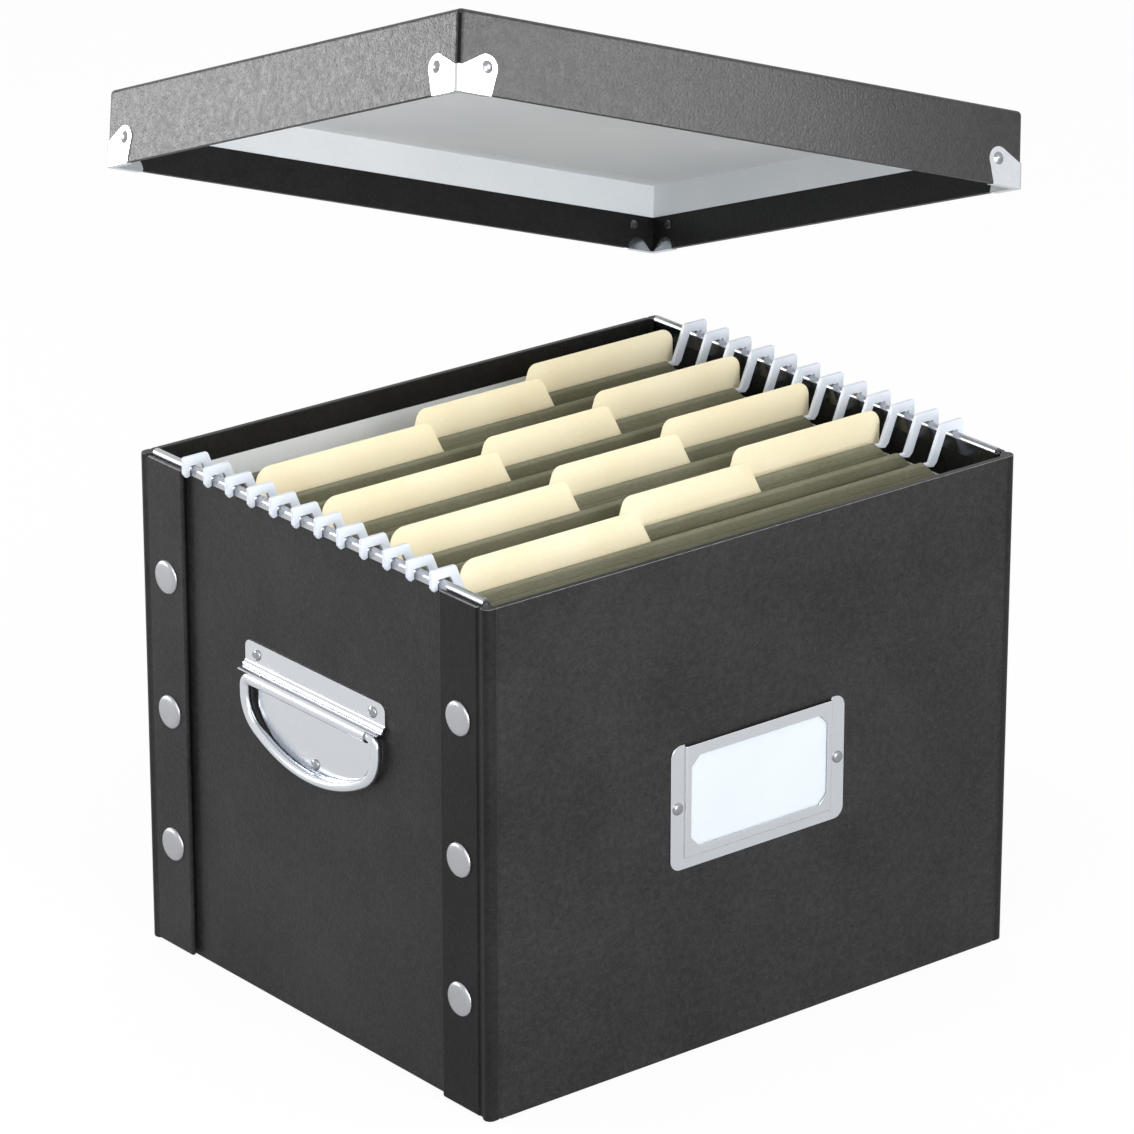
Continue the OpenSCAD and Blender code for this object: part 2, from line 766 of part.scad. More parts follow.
// The sheet of hanging folder k, with its corners cut away at the hooks
module hanging_folder(k) {
    w = paper_half_w;
    right = leaf_course();
    course = concat([for (i = [0:len(right) - 1]) [-right[i][0], right[i][1]]],
                    [for (i = [len(right) - 1:-1:0]) right[i]]);
    corner_x = foot_in - 0.5;
    corner_z = rod_z - 3;
    color(olive) translate([0, rod_y(2 * k) + pocket_mid, 0]) difference() {
        translate([-w, 0, 0]) rotate([90, 0, 90]) linear_extrude(2 * w)
            polygon(sheet_outline(course, paper_t));
        for (m = [0, 1]) mirror([m, 0, 0])
            translate([0, rod_pitch + belly, 0]) rotate([90, 0, 0]) linear_extrude(2 * (rod_pitch + belly))
                polygon([[corner_x - 0.5, paper_top + 1], [corner_x, corner_z], [w, corner_z - 7.5],
                         [w + 1, corner_z - 7.5], [w + 1, paper_top + 1]]);
    }
}

// Outline of a hook, u outwards from the middle of the box and z up
module hook_outline() {
    r = 1.4;
    tip = wall_h - 2.5;
    polygon(concat(
        [[notch_out, tip], [hook_out - 1.6, tip - 0.6], [hook_out, tip + 1.6]],
        arc([hook_out - r, hook_top - r], r, 0, 90),
        [[notch_in - 4.2, hook_top], [notch_in - 6, hook_top - 1.2]],
        [[foot_in, rod_z + 0.6], [foot_in, rod_z - rod_r], [foot_out - 1.6, rod_z - rod_r - 0.8]],
        [[foot_out - 0.4, rod_z + 0.6], [notch_in - 4, wall_h - 2.2], [notch_in - 0.2, notch_top - 1.5]],
        [[notch_in + 0.6, notch_top], [notch_out, notch_top]]));
}

// The two steel rods of hanging folder k with the hooks moulded on their ends
module folder_hooks(k) {
    color(nylon_white) for (j = [0, 1]) translate([0, rod_y(2 * k + j), 0]) {
        translate([0, 0, rod_z]) rotate([0, 90, 0]) cylinder(r = rod_r, h = 2 * rod_end, center = true);
        for (s = [0, 1]) mirror([s, 0, 0])
            translate([0, hook_t / 2, 0]) rotate([90, 0, 0]) linear_extrude(hook_t) hook_outline();
    }
}

// Manila folders

// Ends of the tab at place p, left 0, middle 1, right 2, measured from the folder's middle
function tab_ends(p) = let (w = manila_w / 2, third = manila_w / 3)
    p == 0 ? [-w, -w + third + 19] : p == 1 ? [-third / 2 + 9, third / 2 + 6] : [w - third - 4, w];

// Outline of a manila leaf with or without its tab
module manila_outline(p, tab) {
    w = manila_w / 2;
    z0 = manila_z;
    z1 = manila_z + manila_h;
    e = tab_ends(p);
    r = tab_corner_r;
    left_slope = p == 0 ? 0 : manila_slope;
    right_slope = p == 2 ? 0 : manila_slope;
    polygon([[-w, z0], [w, z0], [w, z1 - 3], [w - 3, z1], [-w + 3, z1], [-w, z1 - 3]]);
    if (tab) polygon(concat(
        [[e[0], z1 - r], [e[1], z1 - r], [e[1], z1 + 1]],
        arc([e[1] - right_slope - r, z1 + tab_h - r], r, right_slope > 0 ? 30 : 0, 90),
        arc([e[0] + left_slope + r, z1 + tab_h - r], r, 90, left_slope > 0 ? 150 : 180),
        [[e[0], z1 + 1]]));
}

// Manila folder i, counted from the front: a back leaf with the tab, a front leaf and the fold
module manila_folder(i) {
    y = rod_y(i) + manila_behind;
    color(manila_cream) translate([manila_shift, y, 0]) {
        translate([0, manila_t / 2, 0]) rotate([90, 0, 0]) linear_extrude(leaf_t) manila_outline(i % 3, true);
        translate([0, -manila_t / 2 + leaf_t, 0]) rotate([90, 0, 0]) linear_extrude(leaf_t)
            manila_outline(i % 3, false);
        block([-manila_w / 2, -manila_t / 2, manila_z], [manila_w / 2, manila_t / 2, manila_z + leaf_t]);
    }
}

base_panel();
front_wall();
back_wall();
end_wall();  // left_end_wall
to_side(1) end_wall();  // right_end_wall
base_lining();
wall_linings();
mirror([0, 1, 0]) flap();  // front_left_flap
to_side(1) mirror([0, 1, 0]) flap();  // front_right_flap
flap();  // back_left_flap
to_side(1) flap();  // back_right_flap
mirror([0, 1, 0]) snap_caps();  // front_left_snaps
to_side(1) mirror([0, 1, 0]) snap_caps();  // front_right_snaps
snap_caps();  // back_left_snaps
to_side(1) snap_caps();  // back_right_snaps
snap_studs();
rail();  // left_rail
to_side(1) rail();  // right_rail
handle_plate();  // left_handle_plate
to_side(1) handle_plate();  // right_handle_plate
bail();  // left_bail
to_side(1) bail();  // right_bail
handle_rivets();
label_holder();
label_card();
label_rivets();
lid_top();
lifted() long_skirt();  // lid_front_wall
lifted() mirror([0, 1, 0]) long_skirt();  // lid_back_wall
lifted() end_skirt();  // lid_left_wall
lifted() mirror([1, 0, 0]) end_skirt();  // lid_right_wall
lid_lining();
lid_corner_guards();
lid_rivets();
for (k = [1:folders]) hanging_folder(k - 1);
for (k = [1:folders]) folder_hooks(k - 1);
for (i = [1:2 * folders]) manila_folder(i - 1);
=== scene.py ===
# Looks of the portable file box. The object's lengths below are millimetres, turned to metres by
# MM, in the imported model's own frame: X along the card-holder side, Y to the back, Z up, with
# the origin at the bottom centre. Camera, lamps and floor are in metres.
import json
import math

import bpy
from mathutils import Matrix, Vector


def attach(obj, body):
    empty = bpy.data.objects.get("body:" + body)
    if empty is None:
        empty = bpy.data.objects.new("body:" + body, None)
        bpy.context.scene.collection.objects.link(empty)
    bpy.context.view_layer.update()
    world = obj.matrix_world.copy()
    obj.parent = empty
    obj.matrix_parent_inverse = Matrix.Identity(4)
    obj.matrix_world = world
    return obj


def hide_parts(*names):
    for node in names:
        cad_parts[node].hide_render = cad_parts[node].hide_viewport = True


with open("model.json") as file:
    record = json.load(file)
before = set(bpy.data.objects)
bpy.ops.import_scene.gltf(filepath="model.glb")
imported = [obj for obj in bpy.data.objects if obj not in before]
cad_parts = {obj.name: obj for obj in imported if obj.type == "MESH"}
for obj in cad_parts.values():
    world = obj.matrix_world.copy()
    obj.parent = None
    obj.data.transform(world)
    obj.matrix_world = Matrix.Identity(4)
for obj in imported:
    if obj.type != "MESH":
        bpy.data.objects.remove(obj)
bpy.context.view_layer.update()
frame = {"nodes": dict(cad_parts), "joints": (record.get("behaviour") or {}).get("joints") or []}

MM = 0.001
bpy.ops.object.select_all(action="DESELECT")
scene = bpy.context.scene
scene.view_settings.view_transform = "Standard"

# Sizes shared with the CAD source, in mm. HALF_POCKET is from a rod to the middle of its pocket,
# MANILA_BACK from a rod to the manila folder behind it, LID_GAP from the hooks to a seated lid,
# and LID_TILT the degrees by which the lid is lifted at rest.
HALF_W, HALF_D, WALL_H = 167.5, 139.0, 263.5
FLAP_IN, FLAP_START, FLAP_END, FLAP_LIFT = 165.0, 131.7, 103.0, 0.8
END_OUT, END_IN, WALL_IN = 163.5, 160.0, 135.5
ROLL_X, ROLL_Y, ROLL = 164.0, 135.5, 3.5
SNAP_Y, SNAP_Z = 117.35, (58.0, 130.5, 203.0)
RODS, FIRST_ROD_Y, ROD_PITCH = 12, -98.0, 18.0
ROD_Y = [FIRST_ROD_Y + ROD_PITCH * i for i in range(RODS)]
ROD_Z, HOOK_TOP = 251.5, 271.15
HALF_POCKET, MANILA_BACK = 9.0, 7.0
LID_W, LID_D, LID_H, LID_T = 173.7, 145.2, 38.4, 3.0
LID_GAP, LID_TILT = 0.8, 27.55
LID_SEAT = HOOK_TOP + LID_GAP + LID_T - LID_H
LONG_LINING_TOP, END_LINING_TOP = 250.0, 241.0

# The lid is drawn with its rim at z = 0 and lifted as the CAD has it
lift = next(j for j in frame["joints"] if j["name"] == "lid_lift")
pivot, lift_axis = Vector(lift["pos_m"]), Vector(lift["axis"]).normalized()
LIFTED = (Matrix.Translation(pivot) @ Matrix.Rotation(math.radians(LID_TILT), 4, lift_axis)
          @ Matrix.Translation(-pivot) @ Matrix.Translation((0, 0, LID_SEAT * MM)))

# Camera: solved from the box's corners in the photograph, its focal length in the photograph's
# pixels
SENSOR, PHOTO_FOCAL, PHOTO_WIDTH = 36.0, 5896, 1134
cam_data = bpy.data.cameras.new("camera")
cam_data.sensor_width, cam_data.lens = SENSOR, SENSOR * PHOTO_FOCAL / PHOTO_WIDTH
cam_data.clip_end = 50
cam = bpy.data.objects.new("camera", cam_data)
scene.collection.objects.link(cam)
cam.location = (-1.7349, -2.1273, 1.2672)
cam.rotation_mode = "QUATERNION"
cam.rotation_quaternion = Vector((0.5880, 0.7237, -0.3616)).to_track_quat("-Z", "Y")
scene.camera = cam


# Colours and materials

def linear(hex_colour):
    """A written sRGB colour as Blender's linear colour."""
    parts = [int(hex_colour[i:i + 2], 16) / 255 for i in (1, 3, 5)]
    return (*(c / 12.92 if c <= 0.04045 else ((c + 0.055) / 1.055) ** 2.4 for c in parts), 1.0)


def add(tree, kind, ins=None, out=0, **settings):
    """Adds one node and hands back one of its outputs. ins gives its sockets a link or a value."""
    n = tree.nodes.new(kind)
    for key, value in settings.items():
        setattr(n, key, value)
    for key, value in (ins or {}).items():
        if isinstance(value, bpy.types.NodeSocket):
            tree.links.new(value, n.inputs[key])
        else:
            n.inputs[key].default_value = value
    return n.outputs[out]


def blend(tree, share, low, high):
    """Mixes two colours by a share."""
    return add(tree, "ShaderNodeMix", {0: share, 6: low, 7: high}, 2, data_type="RGBA")


def surface(name, colour, roughness, metallic=0.0, **sockets):
    """A material with its shader's constant sockets set. Hands back the material, its tree and the
    shader's inputs to link to."""
    m = bpy.data.materials.new(name)
    m.use_nodes = True
    shader = m.node_tree.nodes["Principled BSDF"].inputs
    shader["Base Color"].default_value = m.diffuse_color = linear(colour)
    shader["Roughness"].default_value = roughness
    shader["Metallic"].default_value = metallic
    for key, value in sockets.items():
        shader[key.replace("_", " ")].default_value = value
    return m, m.node_tree, shader


def leathercloth(name, low, high, rough, gloss, depth=0.5, wear_and_highlight=None):
    """PVC-coated leathercloth, embossed with a calf grain and glued over board: almost black in the
    pits, greyer on the worn pebbles, with a broad soft sheen. The real grain is about 0.8 mm and
    is drawn at 1.3 mm to show, embossed by depth. Given a last colour, the folds over the boards'
    upper edges, where they slope up, are painted lighter: partly wear, partly a painted highlight."""
    m, t, shader = surface(name, low, rough, Specular_IOR_Level=gloss)
    at = add(t, "ShaderNodeTexCoord", out="Object")
    pebble = add(t, "ShaderNodeTexVoronoi", {"Vector": at, "Scale": 770.0, "Smoothness": 0.7},
                 feature="SMOOTH_F1")
    crease = add(t, "ShaderNodeTexNoise",
                 {"Vector": at, "Scale": 260.0, "Detail": 5.0, "Roughness": 0.65})
    slant = add(t, "ShaderNodeMapping",
                {"Vector": at, "Rotation": (0.5, 0.7, 0.4), "Scale": (1500.0, 1500.0, 90.0)})
    hair = add(t, "ShaderNodeTexNoise", {"Vector": slant, "Scale": 1.0, "Detail": 2.0})
    cloud = add(t, "ShaderNodeTexNoise",
                {"Vector": at, "Scale": 16.0, "Detail": 4.0, "Roughness": 0.6})
    grain = add(t, "ShaderNodeMath", {0: pebble, 1: 0.55, 2: crease}, operation="MULTIPLY_ADD")
    relief = add(t, "ShaderNodeMath", {0: hair, 1: 0.22, 2: grain}, operation="MULTIPLY_ADD")
    bump = add(t, "ShaderNodeBump", {"Height": relief, "Strength": depth, "Distance": 0.0005})
    t.links.new(bump, shader["Normal"])
    worn = add(t, "ShaderNodeMath", {0: cloud, 1: 0.9, 2: grain}, operation="MULTIPLY_ADD")
    share = add(t, "ShaderNodeMapRange", {"Value": worn, "From Min": 0.95, "From Max": 1.55})
    colour = blend(t, share, linear(low), linear(high))
    if wear_and_highlight:
        # Painted highlight, partly wear: faces sloping up take the lighter edge colour, broken by
        # the creases
        facing = add(t, "ShaderNodeNewGeometry", out="True Normal")
        up = add(t, "ShaderNodeSeparateXYZ", {"Vector": facing}, "Z")
        slope = add(t, "ShaderNodeMath", {0: up, 1: 0.7, 2: 0.25}, operation="COMPARE")
        edge = add(t, "ShaderNodeMath", {0: slope, 1: crease}, operation="MULTIPLY")
        colour = blend(t, edge, colour, linear(wear_and_highlight))
    t.links.new(colour, shader["Base Color"])
    dull = add(t, "ShaderNodeMapRange", {"Value": crease, "From Min": 0.3, "From Max": 0.7,
                                         "To Min": rough - 0.06, "To Max": rough + 0.08})
    t.links.new(dull, shader["Roughness"])
    return m


def lining_paper(name, low, high):
    """Uncoated pale grey lining paper, pasted to the board with a brush: matt, faintly mottled by
    the paste."""
    m, t, shader = surface(name, high, 0.75, Specular_IOR_Level=0.3)
    at = add(t, "ShaderNodeTexCoord", out="Object")
    fibre = add(t, "ShaderNodeTexNoise", {"Vector": at, "Scale": 900.0, "Detail": 2.0})
    paste = add(t, "ShaderNodeTexNoise", {"Vector": at, "Scale": 9.0, "Detail": 3.0})
    mottle = add(t, "ShaderNodeMath", {0: fibre, 1: 0.35, 2: paste}, operation="MULTIPLY_ADD")
    share = add(t, "ShaderNodeMapRange", {"Value": mottle, "From Min": 0.5, "From Max": 0.85})
    colour = blend(t, share, linear(low), linear(high))
    t.links.new(colour, shader["Base Color"])
    bump = add(t, "ShaderNodeBump", {"Height": fibre, "Strength": 0.08, "Distance": 0.0003})
    t.links.new(bump, shader["Normal"])
    return m


def nickel_plate(name, colour, rough, wave):
    """Nickel-plated pressed steel: a bright, faintly blue mirror, softened where the press rubbed
    it and by fine handling scratches. A darker colour or a rougher value gives a duller piece."""
    m, t, shader = surface(name, colour, rough, 1.0)
    at = add(t, "ShaderNodeTexCoord", out="Object")
    haze = add(t, "ShaderNodeTexNoise", {"Vector": at, "Scale": 45.0, "Detail": 4.0})
    drawn = add(t, "ShaderNodeMapping",
                {"Vector": at, "Rotation": (0.4, 0.3, 0.0), "Scale": (900.0, 900.0, 160.0)})
    scratch = add(t, "ShaderNodeTexNoise", {"Vector": drawn, "Scale": 1.0, "Detail": 2.0})
    marks = add(t, "ShaderNodeMapRange",
                {"Value": scratch, "From Min": 0.55, "From Max": 0.75, "To Max": 0.08})
    soft = add(t, "ShaderNodeMapRange", {"Value": haze, "From Min": 0.3, "From Max": 0.7,
                                         "To Min": rough - 0.05, "To Max": rough + 0.06})
    t.links.new(add(t, "ShaderNodeMath", {0: soft, 1: marks}, operation="ADD"), shader["Roughness"])
    bump = add(t, "ShaderNodeBump", {"Height": haze, "Strength": wave, "Distance": 0.0006})
    t.links.new(bump, shader["Normal"])
    return m


def folder_card(name, low, high, rough, fleck):
    """Calendered card of wood pulp: matt with a slight sheen, its short fibres lying mostly
    along X."""
    m, t, shader = surface(name, high, rough, Specular_IOR_Level=0.3)
    at = add(t, "ShaderNodeTexCoord", out="Object")
    cloud = add(t, "ShaderNodeTexNoise", {"Vector": at, "Scale": 22.0, "Detail": 4.0})
    along = add(t, "ShaderNodeMapping", {"Vector": at, "Scale": (380.0, 900.0, 1500.0)})
    fibre = add(t, "ShaderNodeTexNoise", {"Vector": along, "Scale": 1.0, "Detail": 3.0})
    pulp = add(t, "ShaderNodeMath", {0: fibre, 1: fleck, 2: cloud}, operation="MULTIPLY_ADD")
    share = add(t, "ShaderNodeMapRange",
                {"Value": pulp, "From Min": 0.3 + 0.35 * fleck, "From Max": 0.6 + 0.6 * fleck})
    colour = blend(t, share, linear(low), linear(high))
    t.links.new(colour, shader["Base Color"])
    bump = add(t, "ShaderNodeBump", {"Height": fibre, "Strength": 0.12, "Distance": 0.0002})
    t.links.new(bump, shader["Normal"])
    return m


def moulded_nylon(name, low, high):
    """Injection-moulded natural nylon: bluish white, a little see-through at thin edges, with the
    soft gloss of a polished mould and a faint flow pattern."""
    m, t, shader = surface(name, high, 0.34, Subsurface_Weight=0.1, Subsurface_Scale=0.002)
    at = add(t, "ShaderNodeTexCoord", out="Object")
    flow = add(t, "ShaderNodeTexNoise", {"Vector": at, "Scale": 160.0, "Detail": 3.0})
    colour = blend(t, flow, linear(low), linear(high))
    t.links.new(colour, shader["Base Color"])
    bump = add(t, "ShaderNodeBump", {"Height": flow, "Strength": 0.06, "Distance": 0.0003})
    t.links.new(bump, shader["Normal"])
    return m


# The last colour of the first two cloths is the lighter edge colour: partly wear, partly painted
# highlight
BOX_CLOTH = leathercloth("black_leathercloth", "#212121", "#323232", 0.36, 0.17, 0.25, "#a0a0a3")
# The front flaps' cloth: a darker copy of the box cloth, as painted shade
FRONT_FLAP_SHADED_CLOTH = leathercloth("black_leathercloth_front_flaps_painted_shade", "#151515", "#222222", 0.38, 0.12, 0.25,
                          "#a0a0a3")
# A darker copy of the cloth for the corner rolls, the inner faces and the lid's rim: painted shade
INNER_SHADE_CLOTH = leathercloth("black_leathercloth_inner_painted_shade", "#131313", "#212121", 0.42, 0.2)
LID_CLOTH = leathercloth("grey_leathercloth", "#1d1c1d", "#2e2d2e", 0.35, 0.43)
# The lid's corner seams: the darkest copy of the cloth, as painted shade of the seam's groove
SEAM_SHADE_CLOTH = leathercloth("black_corner_seam_painted_shade", "#0b0b0b", "#121212", 0.6, 0.1)
LINING = lining_paper("grey_lining_paper", "#e2e7ec", "#eef1f4")
NICKEL = nickel_plate("bright_nickel_plate", "#d4d8dd", 0.2, 0.1)
RIVET_NICKEL = nickel_plate("dull_nickel_rivets", "#9b9da1", 0.24, 0.1)
RAIL_NICKEL = nickel_plate("drawn_nickel_rail", "#b6b8bc", 0.28, 0.1)
# The rails' inner legs: a darker nickel, as painted shade
SHADED_LEG_NICKEL = nickel_plate("nickel_rail_leg_painted_shade", "#56575a", 0.18, 0.12)
SATIN_NICKEL = nickel_plate("satin_nickel_caps", "#b3b4b8", 0.33, 0.08)
MANILA = folder_card("cream_manila_card", "#f8eac4", "#fdf4d6", 0.6, 0.5)
OLIVE = folder_card("olive_hanging_card", "#6f6e57", "#85846f", 0.7, 0.8)
WHITE_CARD = folder_card("white_index_card", "#cdd4db", "#d1d8df", 0.5, 0.3)
NYLON = moulded_nylon("white_moulded_nylon", "#d6dde7", "#e0e7f0")


# Modelling helpers

def only(obj):
    """Selects one object alone and makes it active."""
    bpy.ops.object.select_all(action="DESELECT")
    obj.select_set(True)
    bpy.context.view_layer.objects.active = obj


def settle(obj):
    """Puts an object's place into its mesh."""
    only(obj)
    bpy.ops.object.transform_apply(location=True, rotation=True, scale=True)
    return obj


def apply(obj, kind, **settings):
    """Adds one modifier with its settings and applies it."""
    only(obj)
    m = obj.modifiers.new("shape", kind)
    for key, value in settings.items():
        setattr(m, key, value)
    bpy.ops.object.modifier_apply(modifier=m.name)
    return obj


def round_edges(obj, radius, steps=3, angle=35, smooth=40):
    """Bevels every edge sharper than angle, radius in mm, and smooths what is left."""
    apply(obj, "BEVEL", width=radius * MM, segments=steps, limit_method="ANGLE",
          angle_limit=math.radians(angle), use_clamp_overlap=True)
    bpy.ops.object.shade_smooth_by_angle(angle=math.radians(smooth))
    return obj


def board(name, low, high, radius=0.0, steps=3):
    """A board or sheet between two corners, with rounded edges."""
    size = [(b - a) * MM for a, b in zip(low, high)]
    middle = [(a + b) / 2 * MM for a, b in zip(low, high)]
    bpy.ops.mesh.primitive_cube_add(size=1, location=middle, scale=size)
    obj = bpy.context.object
    obj.name = name
    settle(obj)
    return round_edges(obj, radius, steps) if radius else obj


def edit(obj, mode):
    """Opens a mesh for editing with its vertices, edges or faces to pick from."""
    only(obj)
    bpy.context.tool_settings.mesh_select_mode = [mode == kind for kind in ("VERT", "EDGE", "FACE")]
    bpy.ops.object.mode_set(mode="EDIT")


def pick(obj, test):
    """Selects only the vertices, edges or faces that pass a test, for the next edit."""
    mesh = obj.data
    for group in (mesh.vertices, mesh.edges, mesh.polygons):
        for item in group:
            item.select = False
    for item in test(mesh):
        item.select = True


def course(name, points, closed=False):
    """An edge path drawn from point to point in mm by extruding a vertex, filled if closed."""
    bpy.ops.mesh.primitive_plane_add(size=0.001, location=[c * MM for c in points[0]])
    obj = bpy.context.object
    obj.name = name
    settle(obj)
    edit(obj, "VERT")
    bpy.ops.mesh.select_all(action="SELECT")
    bpy.ops.mesh.merge(type="CENTER")
    for a, b in zip(points, points[1:]):
        bpy.ops.mesh.extrude_vertices_move(
            TRANSFORM_OT_translate={"value": [(q - p) * MM for p, q in zip(a, b)]})
    if closed:
        bpy.ops.mesh.select_all(action="SELECT")
        bpy.ops.mesh.edge_face_add()
    bpy.ops.object.mode_set(mode="OBJECT")
    return obj


def pull(obj, x=0, y=0, z=0):
    """Extrudes all of a flat outline or course by x, y, z mm and turns its faces outwards."""
    edit(obj, "VERT")
    bpy.ops.mesh.select_all(action="SELECT")
    bpy.ops.mesh.extrude_region_move(TRANSFORM_OT_translate={"value": (x * MM, y * MM, z * MM)})
    bpy.ops.mesh.select_all(action="SELECT")
    bpy.ops.mesh.normals_make_consistent(inside=False)
    bpy.ops.object.mode_set(mode="OBJECT")
    return obj


def turned(name, profile, centre, axis, steps=32):
    """A piece turned on a lathe: a profile of (radius, along) in mm, spun about an axis."""
    axis = Vector(axis).normalized()
    side = axis.orthogonal().normalized()
    obj = course(name, [list(Vector(centre) + side * r + axis * a) for r, a in profile])
    edit(obj, "VERT")
    bpy.ops.mesh.select_all(action="SELECT")
    bpy.ops.mesh.spin(steps=steps, angle=math.tau, center=[c * MM for c in centre], axis=axis)
    bpy.ops.mesh.select_all(action="SELECT")
    bpy.ops.mesh.remove_doubles(threshold=0.000005)
    bpy.ops.mesh.normals_make_consistent(inside=False)
    bpy.ops.object.mode_set(mode="OBJECT")
    bpy.ops.object.shade_smooth_by_angle(angle=math.radians(35))
    return obj


def cut(obj, tool, operation="DIFFERENCE"):
    """Cuts one piece by another, which is then thrown away."""
    apply(obj, "BOOLEAN", operation=operation, object=tool, solver="EXACT")
    bpy.data.objects.remove(tool)
    return obj


def joined(name, *objs):
    """Several pieces made one."""
    only(objs[0])
    for o in objs[1:]:
        o.select_set(True)
    if len(objs) > 1:
        bpy.ops.object.join()
    objs[0].name = name
    return objs[0]


def copied(obj, name, matrix):
    """A copy with its own mesh, moved by a matrix. A mirrored one gets its faces turned outwards
    again."""
    new = obj.copy()
    new.data = obj.data.copy()
    new.name = name
    scene.collection.objects.link(new)
    new.data.transform(matrix)
    if matrix.determinant() < 0:
        new.data.flip_normals()
    return new


def finish(obj, material, body, *nodes, slot):
    """Gives a finished piece its material and its body, and hides the CAD nodes it stands for. Its
    slot is not used.
    """
    if material:
        obj.data.materials.clear()
        obj.data.materials.append(material)
    apply(obj, "WEIGHTED_NORMAL", keep_sharp=True)
    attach(obj, body)
    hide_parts(*nodes)


def clad(material, *names):
    """Gives CAD nodes that keep their own shape a material."""
    for name in names:
        obj = frame["nodes"][name]
        obj.data.materials.clear()
        obj.data.materials.append(material)


def arc(cx, cy, r, a0, a1, n):
    """Points of an arc in a plane, degrees."""
    return [(cx + r * math.cos(math.radians(a0 + (a1 - a0) * i / n)),
             cy + r * math.sin(math.radians(a0 + (a1 - a0) * i / n))) for i in range(n + 1)]


MIRROR_X, MIRROR_Y = Matrix.Scale(-1, 4, (1, 0, 0)), Matrix.Scale(-1, 4, (0, 1, 0))

# CAD nodes that keep their own shape: the base, two linings and the hidden studs
clad(BOX_CLOTH, "base_panel")
clad(LINING, "base_lining", "lid_lining")
clad(NICKEL, "snap_studs")


# Box boards

def long_wall():
    """The front wall from above: board, corner rolls and the grooves pressed in beside them."""
    groove = [(161.6, -139.0), (161.1, -138.8), (160.6, -138.3), (160.1, -138.8), (159.6, -139.0)]
    inside = ROLL_X - ROLL
    points = [(-inside, -WALL_IN), (inside, -WALL_IN)]
    points += arc(ROLL_X, -ROLL_Y, ROLL, 180, -90, 15)[1:] + groove
    points += [(-x, y) for x, y in reversed(groove)]
    points += arc(-ROLL_X, -ROLL_Y, ROLL, -90, -360, 15)[:-1]
    wall = course("front_wall_board", [(x, y, 0) for x, y in points], closed=True)
    return round_edges(pull(wall, z=WALL_H), 0.9, 3, 60, 32)


# The corner rolls, from ROLL_START outwards, and the walls' inner faces are in a darker copy
# of the cloth: painted shade
ROLL_START = 162.2
front = long_wall()
end = board("left_end_board", (-END_OUT, -FLAP_START, 0), (-END_IN, FLAP_START, WALL_H), 0.7)
for wall, axis, inside in ((front, 1, WALL_IN + 1), (end, 0, END_IN + 1)):
    for material in (BOX_CLOTH, INNER_SHADE_CLOTH):
        wall.data.materials.append(material)
    for p in wall.data.polygons:
        roll = axis == 1 and abs(p.center.x) > ROLL_START * MM and abs(p.normal.z) < 0.5
        p.material_index = roll or abs(p.center[axis]) < inside * MM and abs(p.normal[axis]) > 0.5
finish(copied(front, "back_wall_board", MIRROR_Y), None, "box", "back_wall", slot="cover_dark")
finish(front, None, "box", "front_wall", slot="cover_dark")
finish(copied(end, "right_end_board", MIRROR_X), None, "box", "right_end_wall", slot="cover_dark")
finish(end, None, "box", "left_end_wall", slot="cover_dark")

# Wall linings: the turned-in cloth above them is taller on the end walls
linings = [board("lining", (-159.4, 134.9, 3.5), (159.4, 135.5, LONG_LINING_TOP)),
           board("lining", (-160, -131.7, 3.5), (-159.4, 131.7, END_LINING_TOP))]
linings += [copied(linings[0], "lining", MIRROR_Y), copied(linings[1], "lining", MIRROR_X)]
finish(joined("wall_lining_sheets", *linings), LINING, "box", "wall_linings", slot="lining")

# Snap flaps: a stiff board with soft rounded edges, the cloth that dips between it and the corner
# roll and slides round on the roll, and three capped snaps. The front flaps' cloth is a darker
# copy: painted shade.
hinge = [(-166.9, 130.9), (-166.85, 132.4), (-167.02, 133.4), (-167.35, 134.4), (-166.95, 133.6),
         (-166.5, 133.0), (-166.2, 130.9)]
hinge = pull(course("hinge_cloth", [(x, y, FLAP_LIFT + 0.4) for x, y in hinge], closed=True),
             z=WALL_H - FLAP_LIFT - 1)
bpy.ops.object.shade_smooth_by_angle(angle=math.radians(50))
flap = board("flap", (-HALF_W, FLAP_END, FLAP_LIFT), (-FLAP_IN, FLAP_START, WALL_H), 1.1, 4)
flap = joined("flap", flap, hinge)
cap_profile = [(0, 2.0), (4.0, 1.97), (6.2, 1.86), (7.4, 1.62), (8.2, 1.2), (8.65, 0.65),
               (8.8, 0.15), (8.7, 0), (3.6, 0), (3.6, -2.5), (5.5, -2.5), (5.5, -3.0),
               (2.9, -3.0), (2.9, -0.4), (0, -0.4)]
caps = joined("caps", *[turned("cap", cap_profile, (-HALF_W, SNAP_Y, z), (-1, 0, 0))
                        for z in SNAP_Z])
for corner, turn in (("back_left", Matrix.Identity(4)), ("back_right", MIRROR_X),
                     ("front_left", MIRROR_Y), ("front_right", MIRROR_X @ MIRROR_Y)):
    # Painted shade: the front flaps take the darker copy of the cloth
    cloth = FRONT_FLAP_SHADED_CLOTH if "front" in corner else BOX_CLOTH
    finish(copied(flap, corner + "_flap_board", turn), cloth, corner + "_flap",
           corner + "_flap", slot="cover_dark")
    finish(copied(caps, corner + "_snap_caps", turn), SATIN_NICKEL, corner + "_flap",
           corner + "_snaps", slot="nickel")
bpy.data.objects.remove(flap)
bpy.data.objects.remove(caps)

